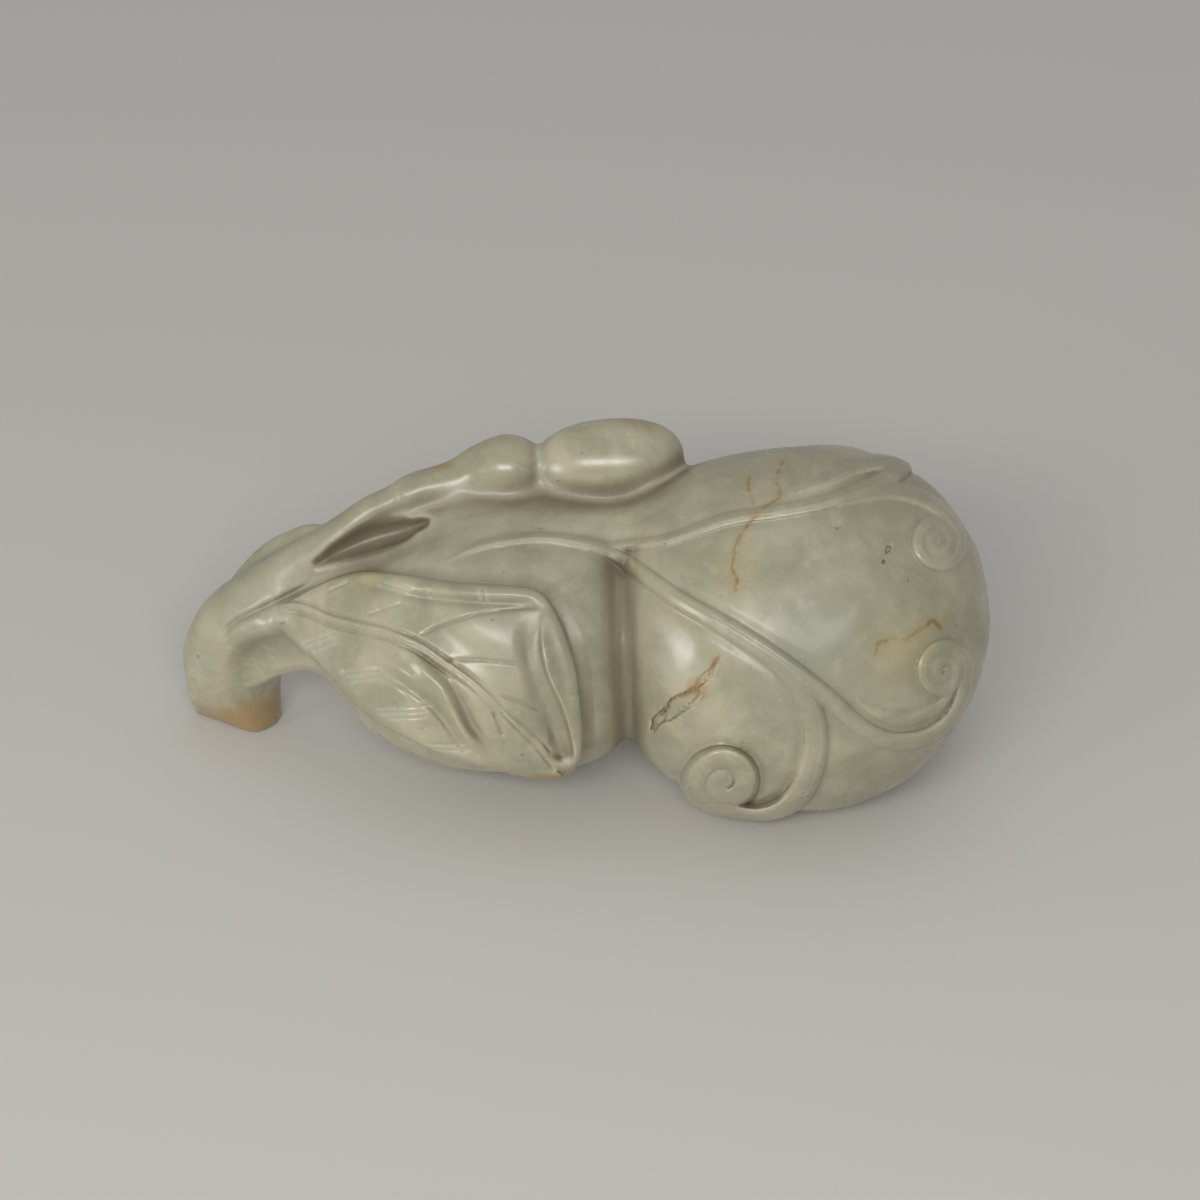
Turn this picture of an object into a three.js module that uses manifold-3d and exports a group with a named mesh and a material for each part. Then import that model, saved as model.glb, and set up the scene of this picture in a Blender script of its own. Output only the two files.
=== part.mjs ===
// A jade carving of a double gourd on its stalk, with a baby gourd, a leaf on each side and curling tendrils.
// Millimetres, +Z up. The forms are laid out upright in the carving's own broad plane: x runs along the gourd
// to its blossom end, z is up in that plane and -y is its front. The last step leans the stone back until it
// rests on the flat under the large bulb and on the foot of the stalk.
import * as THREE from 'three';
import { LoftGeometry } from 'three/addons/geometries/LoftGeometry.js';
import { mergeVertices } from 'three/addons/utils/BufferGeometryUtils.js';
import Module from 'manifold-3d';

// Driving sizes of the gourd: each bulb is a superellipse turned about the gourd's axis. From its middle on, the
// large bulb rises a little towards the blossom end.
const LARGE_BULB = { centre: 24, radius: 20.4, left: 22.8, leftPower: 2.6, right: 19.6, rightPower: 2 };
const LARGE_BULB_RISE = 0.06;
const SMALL_BULB = { centre: -7.5, radius: 14.3, left: 22.2, leftPower: 2.3, right: 12.6, rightPower: 2.6 };
const BABY_LARGE = { centre: 0, radius: 4.85, left: 8.6, leftPower: 2.2, right: 8.1, rightPower: 2.4 };
const BABY_SMALL = { centre: -11.9, radius: 3.75, left: 5.2, leftPower: 1.7, right: 4.2, rightPower: 2.2 };
const BABY_CENTRE = new THREE.Vector3(2.4, 0.4, 19.8);

// How the stone lies.
const AXIS_TILT = THREE.MathUtils.degToRad(3.15);
const LEAN_BACK = THREE.MathUtils.degToRad(33);
const AXIS_HEIGHT = 17.8;

// The stalk: stations from inside the small bulb, round the hook to the foot. Each is the middle, then half the
// width in the plane and half the thickness in depth.
const STALK = [
  { at: [-16, 0, 0], wide: 9, thick: 8 },
  { at: [-25, 1.5, 2.2], wide: 7.4, thick: 6.6 },
  { at: [-32.3, 4.4, 4.5], wide: 6.4, thick: 5.6 },
  { at: [-38, 8.2, 3.9], wide: 6.2, thick: 5.2 },
  { at: [-41.3, 12, 1.6], wide: 5.8, thick: 4.8 },
  { at: [-42.3, 15.6, -1.6], wide: 5.4, thick: 4.4 },
  { at: [-42.5, 18.8, -6.6], wide: 5.1, thick: 4.2 },
  { at: [-42.5, 21.8, -11], wide: 5, thick: 4.1 },
];

// The foot's lower front edge has broken away along a slanting plane. This place lies on it with the stone at rest.
const FOOT_BREAK = { place: new THREE.Vector3(-44, 9.8, 0.5), facing: new THREE.Vector3(-0.43, -0.71, -0.56) };
const FOOT_BREAK_BOX = { side: 14, deep: 6 };

// The vine that leaves the baby gourd, follows the stalk and fades out above the foot.
const VINE = [
  { at: [-13, 0.4, 19.2], wide: 2.5, thick: 2.5 },
  { at: [-16.2, 0.4, 18.5], wide: 2.25, thick: 2.5 },
  { at: [-19, 0.4, 17.9], wide: 2.1, thick: 2.4 },
  { at: [-21, 0.4, 17.2], wide: 2, thick: 2.4 },
  { at: [-24.8, 0.4, 15.8], wide: 1.7, thick: 2.3 },
  { at: [-30, 1.5, 12.7], wide: 1.9, thick: 2.5 },
  { at: [-35, 3.6, 9.9], wide: 1.7, thick: 2.4 },
  { at: [-39.6, 6.4, 7.2], wide: 1.65, thick: 2.4 },
  { at: [-43.2, 9.6, 4.8], wide: 1.7, thick: 2.4 },
  { at: [-45.8, 13, 1], wide: 1.6, thick: 2.2 },
  { at: [-46, 15.6, -3], wide: 1.1, thick: 1.5 },
];

// Two hollows: the cove under the arch of the stalk, behind the front leaf's lower edge, and the slot between the
// stalk and the vine.
const COVE = [
  { at: [-42.2, 9.5, -8], wide: 1, thick: 1.4 },
  { at: [-39.4, 4.6, -1.9], wide: 3.4, thick: 4 },
  { at: [-36.6, 0.8, -1.7], wide: 4.2, thick: 5 },
  { at: [-33.4, -2.2, -3.8], wide: 4, thick: 4.6 },
  { at: [-27.4, -7.2, -10], wide: 1.8, thick: 2 },
];
const SLOT = [
  { at: [-30, 0, 10.7], wide: 0.5, thick: 1.8 },
  { at: [-27, -0.8, 11.9], wide: 1.1, thick: 2.8 },
  { at: [-22, -1.3, 13.4], wide: 1.2, thick: 3.4 },
  { at: [-19.4, -1.8, 13.9], wide: 0.7, thick: 2.8 },
];

// The saddle of stone left between the gourd and the baby gourd, set back behind the slot beside the vine.
const SADDLE = [
  { at: [-38, 7.4, 6], wide: 2.6, thick: 3 },
  { at: [-34, 4.6, 8.2], wide: 3.2, thick: 3.4 },
  { at: [-30, 2.8, 10], wide: 3.4, thick: 3.6 },
  { at: [-25, 2.4, 11.6], wide: 3.6, thick: 3.8 },
  { at: [-17, 2, 12.8], wide: 4.6, thick: 5 },
  { at: [-7, 0, 12.4], wide: 4.8, thick: 6.6 },
  { at: [2.7, 0, 11], wide: 5.6, thick: 7.2 },
  { at: [8, 0, 12.6], wide: 4.8, thick: 6 },
  { at: [11.5, 0, 13.8], wide: 2.6, thick: 3.6 },
];

// The two leaves: both edges as height over distance along the gourd, from the root to the far end. The bed is
// the rounded stone under the leaf: distance along, middle height, middle depth, half height, half depth.
const FRONT_LEAF = {
  side: -1,
  lift: 1,
  edge: 0.5,
  bed: [[-38, 4.4, 9.6, 5.6, 5.4], [-34, 4.4, 6.2, 6, 5.8], [-31, 3.2, 3.8, 6.8, 6.6], [-28.8, 2.2, 2.4, 7.7, 7.2],
    [-26.2, 0.8, 1.2, 9, 8.4], [-24, 0.2, 0.4, 10.2, 9.8], [-20.7, 0, 0, 12.5, 12.3], [-14, 0, 0, 13.9, 13.9],
    [-7.5, 0, 0, 15.2, 14.4], [-2, 0, 0, 15, 13.9]],
  upper: [[-36.7, 5.4], [-34.4, 6.4], [-28.6, 8.6], [-24.1, 8.9], [-15.3, 7.2], [-8.6, 6.4], [-6.2, 5.6],
    [-4.9, 3.8], [-3.7, 0.8], [-2.4, -8.6]],
  lower: [[-36.7, 5.2], [-35.7, 3.3], [-30.9, -1.5], [-28.8, -4], [-26.2, -6.9], [-21.7, -9.6], [-17.4, -11.9],
    [-14.2, -13.1], [-7.5, -15.1], [-4.1, -14.6], [-2.4, -8.9]],
  midrib: [[-36.4, 5.4], [-30, 4.1], [-25.6, 2.2], [-21.8, 0.1], [-18.6, -2.4], [-16.5, -4.7], [-15.4, -7],
    [-14, -10.4], [-13, -12.6]],
};
const BACK_LEAF = {
  side: 1,
  lift: 1.2,
  edge: 0.6,
  bed: [[-43, 5.5, 12, 6, 5.4], [-38, 6.2, 9.4, 8, 6], [-33, 5.6, 5.6, 10, 6.8], [-28, 3.4, 2.6, 12, 8.2],
    [-24, 1.6, 0.8, 12.6, 9.8], [-20, 0.6, 0, 13.4, 12.4], [-14, 0, 0, 14, 13.9], [-7.5, 0, 0, 14.4, 14.4],
    [-1, 0, 0, 14, 13.4]],
  upper: [[-43.4, 7.2], [-40.7, 10.5], [-38, 12.8], [-34.9, 14.2], [-31, 14.8], [-24, 12.4], [-15, 10], [-7, 6.5],
    [-1.5, -1]],
  lower: [[-43.4, 6.6], [-38, 2], [-32, -1.5], [-26, -6], [-18, -8.5], [-10, -9], [-4, -6], [-1.5, -1.4]],
  midrib: [[-42.5, 7], [-34, 6], [-24, 3.4], [-14, 1], [-6, -0.6], [-1.5, -1.2]],
};

// Tendrils on the large bulb, as points along the gourd and up it, with half the width of the band.
const TENDRILS = [
  { side: -1, width: 1.1, points: [[-16.6, 9.6], [-10.6, 11.4], [-6.1, 11.7], [-2, 11], [0.6, 10.2], [3, 8.8],
    [7.9, 4.6], [14.1, 0.5], [19.4, -3.4], [24.1, -7.4], [27.1, -10.4], [30, -12.3], [33.1, -12.8], [36.2, -12.1],
    [38.9, -10.1], [41.2, -7.2]] },
  { side: -1, width: 0.9, points: [[1, 10.2], [4, 10.1], [8.2, 10.6], [14.5, 12.4], [19.7, 12.9], [24.7, 13.6],
    [28.4, 14.6], [31.5, 15.6], [34.7, 17.6]] },
  { side: -1, width: 0.9, points: [[22.5, 15], [25.4, 15.9], [28.6, 17.6], [31.6, 18.4], [34.7, 18]] },
  { side: -1, width: 1, points: [[29.5, 14.5], [32.5, 14.9], [35.5, 14.2], [38.6, 12.5], [40.3, 11]] },
  { side: -1, width: 0.8, points: [[27.5, -8], [29.8, -9.6], [33, -10.3], [36, -9.4], [38, -8]] },
  { side: -1, width: 1.3, points: [[15.5, -1.2], [18.6, -3.1], [21.4, -6.2], [23.1, -10.5], [22.7, -15],
    [21, -18.6], [18, -20.4], [14.6, -20.6]] },
  { side: 1, width: 1.2, points: [[3, 8], [9, 8], [16, 9.6], [23, 8.4], [29, 4.4], [31.6, 0.2]] },
];

// Curls: each is a spiral band whose reach shrinks to a small share of the radius. start is the angle of its outer
// end in degrees, turn its direction.
const CURLS = [
  { side: -1, centre: [37.5, 8.8], radius: 2.9, start: 50, turn: -1 },
  { side: -1, centre: [37.6, -5.3], radius: 3.1, start: -20, turn: 1 },
  { side: -1, centre: [12.8, -16.2], radius: 4.1, start: -70, turn: -1 },
  { side: 1, centre: [27.6, -3], radius: 4.4, start: 40, turn: -1 },
];
const CURL_TURNS = 1.75;
const CURL_BAND = 0.95;
const CURL_STEPS = 20;
const CURL_SHRINK = 0.82;

const JADE = new THREE.MeshStandardMaterial({ color: 0xa9a892, roughness: 0.35, metalness: 0 });

const wasm = await Module();
wasm.setup();

// The floor that the stone rests on is z = 0 once this placing is applied.
const placing = new THREE.Matrix4()
  .makeTranslation(0, 0, AXIS_HEIGHT)
  .multiply(new THREE.Matrix4().makeRotationX(-LEAN_BACK))
  .multiply(new THREE.Matrix4().makeRotationY(-AXIS_TILT));

// A closed geometry as a solid in its place: only its positions are kept, and vertices that meet become one.
function solid(geometry, matrix) {
  const bare = new THREE.BufferGeometry();
  bare.setAttribute('position', geometry.attributes.position.clone());
  bare.setIndex(geometry.index);
  const merged = mergeVertices(bare.applyMatrix4(matrix));
  const corners = merged.index.array;
  const triangles = [];
  for (let i = 0; i < corners.length; i += 3) {
    const [a, b, c] = corners.slice(i, i + 3);
    if (a !== b && b !== c && c !== a) triangles.push(a, b, c);
  }
  return new wasm.Manifold(new wasm.Mesh({
    numProp: 3,
    vertProperties: Float32Array.from(merged.attributes.position.array),
    triVerts: Uint32Array.from(triangles),
  }));
}

function bulbRadius(bulb, x) {
  const [reach, power] = x < bulb.centre ? [bulb.left, bulb.leftPower] : [bulb.right, bulb.rightPower];
  const share = Math.abs(x - bulb.centre) / reach;
  return share < 1 ? bulb.radius * (1 - share ** power) ** (1 / power) : 0;
}

const gourdRadius = (x) => Math.max(bulbRadius(SMALL_BULB, x), bulbRadius(LARGE_BULB, x));
const babyRadius = (x) => Math.max(bulbRadius(BABY_SMALL, x), bulbRadius(BABY_LARGE, x));

// A solid turned about the x axis. Both bulbs are sampled evenly in angle, so their ends come out round, and past
// the waist each goes on for half a radian inside the other.
const WAIST_ANGLE = 0.5;
function turned(radiusAt, small, large, steps, sides) {
  const stations = [];
  for (const [bulb, from, to] of [[small, Math.PI, WAIST_ANGLE], [large, Math.PI - WAIST_ANGLE, 0]]) {
    for (let i = 0; i <= steps; i++) {
      const angle = THREE.MathUtils.lerp(from, to, i / steps);
      const reach = angle > Math.PI / 2 ? bulb.left : bulb.right;
      stations.push(bulb.centre + reach * Math.cos(angle));
    }
  }
  stations.sort((a, b) => a - b);
  const profile = stations.map((x) => new THREE.Vector2(radiusAt(x), x));
  profile[0].x = 0;
  profile.at(-1).x = 0;
  return new THREE.LatheGeometry(profile, sides).rotateZ(-Math.PI / 2);
}

// The gourd, with its blossom end lifted.
const gourdRise = (x) => LARGE_BULB_RISE * Math.max(x - LARGE_BULB.centre, 0);
const GOURD_MESH = { steps: 13, sides: 34 };
function gourd() {
  const geometry = turned(gourdRadius, SMALL_BULB, LARGE_BULB, GOURD_MESH.steps, GOURD_MESH.sides);
  const place = geometry.attributes.position;
  for (let i = 0; i < place.count; i++) place.setZ(i, place.getZ(i) + gourdRise(place.getX(i)));
  return geometry;
}

// A solid swept along a smooth path, with an elliptical section that changes from station to station.
// faceOut gives the direction that the section's thickness points to at a place on the path.
function swept(stations, steps, sides, faceOut = () => new THREE.Vector3(0, 1, 0)) {
  const path = new THREE.CatmullRomCurve3(stations.map((s) => new THREE.Vector3(...s.at)), false, 'centripetal');
  const sizes = new THREE.SplineCurve(stations.map((s) => new THREE.Vector2(s.wide, s.thick)));
  const sections = [];
  for (let i = 0; i <= steps; i++) {
    const t = i / steps;
    const middle = path.getPoint(t);
    const along = path.getTangent(t);
    const out = faceOut(middle).addScaledVector(along, -along.dot(faceOut(middle))).normalize();
    const across = new THREE.Vector3().crossVectors(along, out);
    const size = sizes.getPoint(t);
    sections.push(Array.from({ length: sides }, (_, k) => {
      const angle = 2 * Math.PI * k / sides;
      return middle.clone()
        .addScaledVector(out, size.y * Math.cos(angle))
        .addScaledVector(across, size.x * Math.sin(angle));
    }));
  }
  return new LoftGeometry(sections, { capStart: true, capEnd: true });
}

// Value at x of a smooth curve through [x, value] points.
function curveValue(points, x) {
  const last = points.length - 1;
  let i = 0;
  while (i < last - 1 && x > points[i + 1][0]) i++;
  const slope = (k) => {
    const [before, after] = [points[Math.max(k - 1, 0)], points[Math.min(k + 1, last)]];
    return (after[1] - before[1]) / (after[0] - before[0]);
  };
  const span = points[i + 1][0] - points[i][0];
  const t = THREE.MathUtils.clamp((x - points[i][0]) / span, 0, 1);
  const rise = points[i + 1][1] - points[i][1];
  const [a, b] = [slope(i) * span - rise, rise - slope(i + 1) * span];
  return points[i][1] + rise * t + t * (1 - t) * ((1 - t) * a + t * b);
}

// The depth of an oval's face at height z. Past its top and bottom the face falls away in a straight line.
const OVAL_BRIM = 0.96;
function ovalDepth(z, height, wide, thick) {
  const up = Math.abs(z - height) / wide;
  const brim = thick * Math.sqrt(1 - Math.min(up, OVAL_BRIM) ** 2);
  return brim - Math.max(up - OVAL_BRIM, 0) * wide;
}

// How far the stone under a leaf stands out towards one side.
const bedCurve = (bed, column) => bed.map((row) => [row[0], row[column]]);
function bedDepth(bed, side, x, z) {
  const [height, depth, wide, thick] = [1, 2, 3, 4].map((column) => curveValue(bedCurve(bed, column), x));
  return side * depth + ovalDepth(z, height, wide, thick);
}

// How far the gourd, or the saddle where it stands prouder, stands out at the front or back.
const SADDLE_PROUD = { from: -17, to: 11.5 };
const saddleCurve = (pick) => SADDLE.map((station) => [station.at[0], pick(station)]);
const saddleHeight = saddleCurve((station) => station.at[2]);
const saddleWide = saddleCurve((station) => station.wide);
const saddleThick = saddleCurve((station) => station.thick);
function gourdDepth(x, z) {
  const radius = gourdRadius(x);
  const bulb = ovalDepth(z, gourdRise(x), radius, radius);
  if (x < SADDLE_PROUD.from || x > SADDLE_PROUD.to) return bulb;
  return Math.max(bulb, ovalDepth(z, ...[saddleHeight, saddleWide, saddleThick].map((c) => curveValue(c, x))));
}

// A leaf lies on the stone like a bent plate with its underside sunk in the stone.
const LEAF_STEPS = 20;
const LEAF_ACROSS = 8;
const LEAF_SUNK = 3.6;

function leaf({ side, lift, edge, bed, upper, lower }) {
  const [root, tip] = [upper[0][0], upper.at(-1)[0]];
  const sections = [];
  for (let i = 0; i <= LEAF_STEPS; i++) {
    const x = THREE.MathUtils.lerp(root, tip, (1 - Math.cos(Math.PI * i / LEAF_STEPS)) / 2);
    const [top, bottom] = [curveValue(upper, x), curveValue(lower, x)];
    const [face, underside] = [[], []];
    for (let k = 0; k <= LEAF_ACROSS; k++) {
      const z = THREE.MathUtils.lerp(bottom, top, (1 - Math.cos(Math.PI * k / LEAF_ACROSS)) / 2);
      const out = bedDepth(bed, side, x, z);
      const rim = k === 0 || k === LEAF_ACROSS;
      face.push(new THREE.Vector3(x, side * (out + (rim ? edge : lift)), z));
      underside.push(new THREE.Vector3(x, side * (out - LEAF_SUNK), z));
    }
    const ring = [...face, ...underside.reverse()];
    sections.push(side < 0 ? ring.reverse() : ring);
  }
  return new LoftGeometry(sections, { capStart: true, capEnd: true });
}

// A band that runs over the stone, half sunk in it, with tapered ends. depthAt gives the stone's depth under it.
const BAND_SINK = 0.35;
const BAND_SIDES = 6;
const BAND_END = { width: 0.35, growth: 4 };
function band(points, side, width, steps, depthAt = gourdDepth) {
  const flat = new THREE.SplineCurve(points.map(([x, z]) => new THREE.Vector2(x, z)));
  const stations = [];
  for (let i = 0; i <= steps; i++) {
    const place = flat.getPoint(i / steps);
    const fade = Math.min(1, BAND_END.width + BAND_END.growth * Math.min(i, steps - i) / steps);
    const out = depthAt(place.x, place.y) - BAND_SINK * width;
    stations.push({ at: [place.x, side * out, place.y], wide: width * fade, thick: width * fade });
  }
  return swept(stations, steps, BAND_SIDES, (p) => new THREE.Vector3(0, p.y, p.z));
}

// The midrib is a raised band that runs along its leaf's face.
const MIDRIB_WIDTH = 0.7;
const MIDRIB_STEPS = 18;
function rib({ side, lift, bed, midrib }) {
  return band(midrib, side, MIDRIB_WIDTH, MIDRIB_STEPS, (x, z) => bedDepth(bed, side, x, z) + lift);
}

function curl({ side, centre, radius, start, turn }) {
  const points = [];
  for (let i = 0; i <= CURL_STEPS; i++) {
    const angle = THREE.MathUtils.degToRad(start + turn * 360 * CURL_TURNS * i / CURL_STEPS);
    const reach = radius * (1 - CURL_SHRINK * i / CURL_STEPS);
    points.push([centre[0] + reach * Math.cos(angle), centre[1] + reach * Math.sin(angle)]);
  }
  return band(points, side, CURL_BAND, CURL_STEPS);
}

// A box with one side on the plane of the break, and the rest of it where the stone is gone.
function brokenAway({ place, facing }, { side, deep }) {
  const out = facing.clone().normalize();
  const turn = new THREE.Quaternion().setFromUnitVectors(new THREE.Vector3(0, 0, 1), out);
  const centre = place.clone().addScaledVector(out, deep / 2);
  const block = new THREE.BoxGeometry(side, side, deep).applyQuaternion(turn);
  return solid(block, new THREE.Matrix4().setPosition(centre));
}

const BABY_MESH = { steps: 9, sides: 18 };
const baby = turned(babyRadius, BABY_SMALL, BABY_LARGE, BABY_MESH.steps, BABY_MESH.sides)
  .translate(BABY_CENTRE.x, BABY_CENTRE.y, BABY_CENTRE.z);

// The floor that the stone rests on is the top of this block.
const FLOOR = { side: 200, deep: 40 };
const floor = new THREE.BoxGeometry(FLOOR.side, FLOOR.side, FLOOR.deep).translate(0, 0, -FLOOR.deep / 2);

// Steps along each swept form, and sides round it.
const SWEPT_MESH = { stalk: [18, 16], vine: [20, 9], saddle: [12, 12], cove: [9, 8], slot: [6, 8] };
const TENDRIL_STEPS = 2;

const joined = (forms) => forms.map((form) => solid(form, placing)).reduce((whole, form) => whole.add(form));

const body = joined([
  gourd(),
  swept(STALK, ...SWEPT_MESH.stalk),
  swept(SADDLE, ...SWEPT_MESH.saddle),
  leaf(BACK_LEAF),
  rib(BACK_LEAF),
]);
const reliefs = joined([
  leaf(FRONT_LEAF),
  rib(FRONT_LEAF),
  baby,
  swept(VINE, ...SWEPT_MESH.vine),
  ...TENDRILS.map(({ side, width, points }) => band(points, side, width, Math.round(TENDRIL_STEPS * points.length))),
  ...CURLS.map(curl),
]);
const carved = body
  .subtract(solid(swept(COVE, ...SWEPT_MESH.cove), placing))
  .add(reliefs)
  .subtract(solid(swept(SLOT, ...SWEPT_MESH.slot), placing))
  .subtract(brokenAway(FOOT_BREAK, FOOT_BREAK_BOX))
  .subtract(solid(floor, new THREE.Matrix4()));

const { vertProperties, triVerts } = carved.getMesh();
const stone = new THREE.BufferGeometry();
stone.setAttribute('position', new THREE.BufferAttribute(vertProperties, 3));
stone.setIndex(new THREE.BufferAttribute(triVerts, 1));
stone.computeBoundingBox();
const middle = stone.boundingBox.getCenter(new THREE.Vector3());

const gourdCarving = new THREE.Mesh(stone, JADE);
gourdCarving.name = 'gourd_carving';
gourdCarving.position.set(-middle.x, -middle.y, 0);

const carving = new THREE.Group();
carving.add(gourdCarving);
export default carving;
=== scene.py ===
import math
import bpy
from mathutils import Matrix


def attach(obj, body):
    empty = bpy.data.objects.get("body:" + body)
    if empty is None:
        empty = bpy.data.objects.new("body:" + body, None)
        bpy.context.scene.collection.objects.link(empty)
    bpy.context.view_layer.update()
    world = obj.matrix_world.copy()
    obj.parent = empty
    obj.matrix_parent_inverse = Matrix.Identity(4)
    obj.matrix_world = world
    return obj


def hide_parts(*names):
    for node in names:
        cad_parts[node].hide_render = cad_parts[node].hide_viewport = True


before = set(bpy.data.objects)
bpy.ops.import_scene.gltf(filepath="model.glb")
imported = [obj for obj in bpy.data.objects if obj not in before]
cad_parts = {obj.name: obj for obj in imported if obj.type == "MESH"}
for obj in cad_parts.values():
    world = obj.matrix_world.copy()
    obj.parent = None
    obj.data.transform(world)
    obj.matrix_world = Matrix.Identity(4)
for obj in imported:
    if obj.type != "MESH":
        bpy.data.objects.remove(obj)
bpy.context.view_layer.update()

from concurrent.futures import ThreadPoolExecutor

import bpy
import numpy as np
from mathutils import Vector

# The stone is one pebble of jade, so all its forms are worked out as one body and become one mesh. Each
# form is given in millimetres as it lies in the broad plane of the stone: x runs along the gourd to its
# blossom end, z is up in that plane and -y is its front.

# The gourd: two bulbs, each a superellipse turned about the gourd's axis, that meet in a narrow waist. The
# large bulb is slightly hollow in front, and the skin has the soft unevenness of hand polishing.
LARGE_BULB = dict(centre=24, radius=20.4, left=22.8, left_power=2.6, right=19.6, right_power=2)
LARGE_BULB_RISE = 0.06
SMALL_BULB = dict(centre=-7.5, radius=14.3, left=22.2, left_power=2.3, right=12.6, right_power=2.6)
WAIST_FILLET = 2
FRONT_HOLLOW = dict(middle=(23, 2.5), reach=7, depth=0.5)


def melt(a, b, width):
    """Two bodies joined with a fillet: the lesser distance, less a parabola where the two differ by under
    the width."""
    overlap = np.maximum(width - np.abs(a - b), 0)
    return np.minimum(a, b) - overlap * overlap / (4 * width)


def bump(distance, width):
    """A bell curve: 1 at no distance, falling with its square over the width."""
    return np.exp(-(distance / width) ** 2)


def bulb(along, out, form):
    """Superellipse ((x/reach)^n + (r/radius)^n)^(1/n) - 1, divided by its slope to read as a distance."""
    left = along < form["centre"]
    reach = np.where(left, form["left"], form["right"])
    power = np.where(left, form["left_power"], form["right_power"])
    u = np.maximum(np.abs(along - form["centre"]) / reach, 1e-3)
    v = np.maximum(out / form["radius"], 1e-3)
    size = (u ** power + v ** power) ** (1 / power)
    slope = size ** (1 - power) * np.hypot(u ** (power - 1) / reach, v ** (power - 1) / form["radius"])
    return (size - 1) / slope


def unevenness(x, y, z):
    """A slow swell of a tenth of a millimetre: three waves that cross at odd angles."""
    return (0.04 * np.sin(0.41 * x + 0.23 * z + 1.3) * np.sin(0.37 * z - 0.31 * y + 0.4)
            + 0.03 * np.sin(0.71 * x - 0.43 * y + 2.1) * np.sin(0.59 * y + 0.67 * z)
            + 0.015 * np.sin(1.13 * x + 0.9 * z + 0.7) * np.sin(0.97 * y - 0.83 * x + 1.9))


def gourd(points):
    """The two bulbs joined, less the hollow in front, plus the unevenness. The large bulb's axis rises."""
    x, y, z = points.T
    lifted = z - LARGE_BULB_RISE * np.maximum(x - LARGE_BULB["centre"], 0)
    small = bulb(x, np.hypot(y, z), SMALL_BULB)
    large = bulb(x, np.hypot(y, lifted), LARGE_BULB)
    middle_x, middle_z = FRONT_HOLLOW["middle"]
    off_middle = np.hypot(x - middle_x, z - middle_z)
    hollow = FRONT_HOLLOW["depth"] * bump(off_middle, FRONT_HOLLOW["reach"]) * (y < 0)
    return melt(small, large, WAIST_FILLET) + hollow + unevenness(x, y, z)


# The saddle of stone left under the baby gourd, with a thin web up to the baby's neck, and the stalk that
# hooks back behind the small bulb and down to its cut foot. All are rods of oval section: each row is the
# middle of a section, then half its width in the plane and half its depth.
SADDLE = [[-42.5, 9.6, 2.8, 2.2, 2.4], [-38, 7, 5.8, 2.6, 3.1], [-34, 4.6, 8.2, 3.2, 3.4],
          [-30, 2.8, 10, 3.4, 3.6], [-25, 2.4, 11.6, 3.6, 3.8], [-17, 1.4, 12.5, 4.3, 4.4],
          [-7, 0.2, 12, 4, 4.8], [2.7, 0, 10.8, 4.7, 5.8], [7.5, 0, 12.4, 4, 4.8],
          [11.2, 0, 13.8, 2.6, 3.6]]
WEB = [[-14, 0.4, 15.8, 2.4, 1.8], [-7, 0.4, 15.6, 3, 1.7], [0, 0.4, 15, 2.6, 2], [7, 0.4, 14.6, 2.2, 1.8]]
STALK = [[-16, 0, 0, 9, 8], [-25, 1.5, 2.2, 7.4, 6.6], [-32.3, 4.4, 4.5, 6.4, 5.6],
         [-38, 8.2, 3.9, 6.2, 5.2], [-41.3, 12, 1.6, 5.8, 4.8], [-42.3, 15.6, -1.6, 5.4, 4.4],
         [-42.5, 18.8, -6.6, 5.1, 4.2], [-42.5, 21.8, -11, 5, 4.1]]
ROD_STEPS = 6
ROD_REACH = 3


def inside_box(points, low, high):
    """Numbers of the points that lie in a box."""
    return np.flatnonzero(((points > np.array(low)) & (points < np.array(high))).all(1))


def smooth_path(rows, steps):
    """A Catmull-Rom curve through rows of any number of columns, with that many steps from row to row."""
    rows = np.array(rows, float)
    ends = np.vstack([2 * rows[0] - rows[1], rows, 2 * rows[-1] - rows[-2]])
    t = np.linspace(0, 1, steps, endpoint=False)[None, :, None]
    a, b, c, d = (ends[i:len(rows) - 1 + i, None] for i in range(4))
    curve = b + 0.5 * ((c - a) * t + (2 * a - 5 * b + 4 * c - d) * t ** 2 + (3 * b - a - 3 * c + d) * t ** 3)
    return np.vstack([curve.reshape(-1, rows.shape[1]), rows[-1:]])


def nearest(points, path):
    """Distance from each point to a line of straight stretches, and where on it, as stretch plus share."""
    size = path.shape[1]
    best = np.full(len(points), np.inf)
    where = np.zeros(len(points))
    for i in range(len(path) - 1):
        step = path[i + 1] - path[i]
        gap = points - path[i]
        share = np.clip(gap @ step / (step @ step), 0, 1)
        square = sum((gap[:, k] - share * step[k]) ** 2 for k in range(size))
        closer = square < best
        best = np.where(closer, square, best)
        where = np.where(closer, i + share, where)
    return np.sqrt(best), where


def unit(vectors):
    """Each vector divided by its length."""
    return vectors / np.linalg.norm(vectors, axis=1, keepdims=True)


def rod(rows, fillet):
    """A smooth path of oval sections: its points, half sizes, the directions along, out and across it, and
    the box near it. Out is the y direction less its share along the path."""
    path = smooth_path(rows, ROD_STEPS)
    middle, half = path[:, :3], path[:, 3:5]
    along = unit(np.gradient(middle, axis=0))
    out = unit(np.array([0.0, 1, 0]) - along[:, 1:2] * along)
    widest = half.max(1, keepdims=True)
    return dict(path=middle, half=half, along=along, out=out, across=np.cross(along, out), fillet=fillet,
                low=(middle - widest).min(0) - ROD_REACH, high=(middle + widest).max(0) + ROD_REACH)


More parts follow.
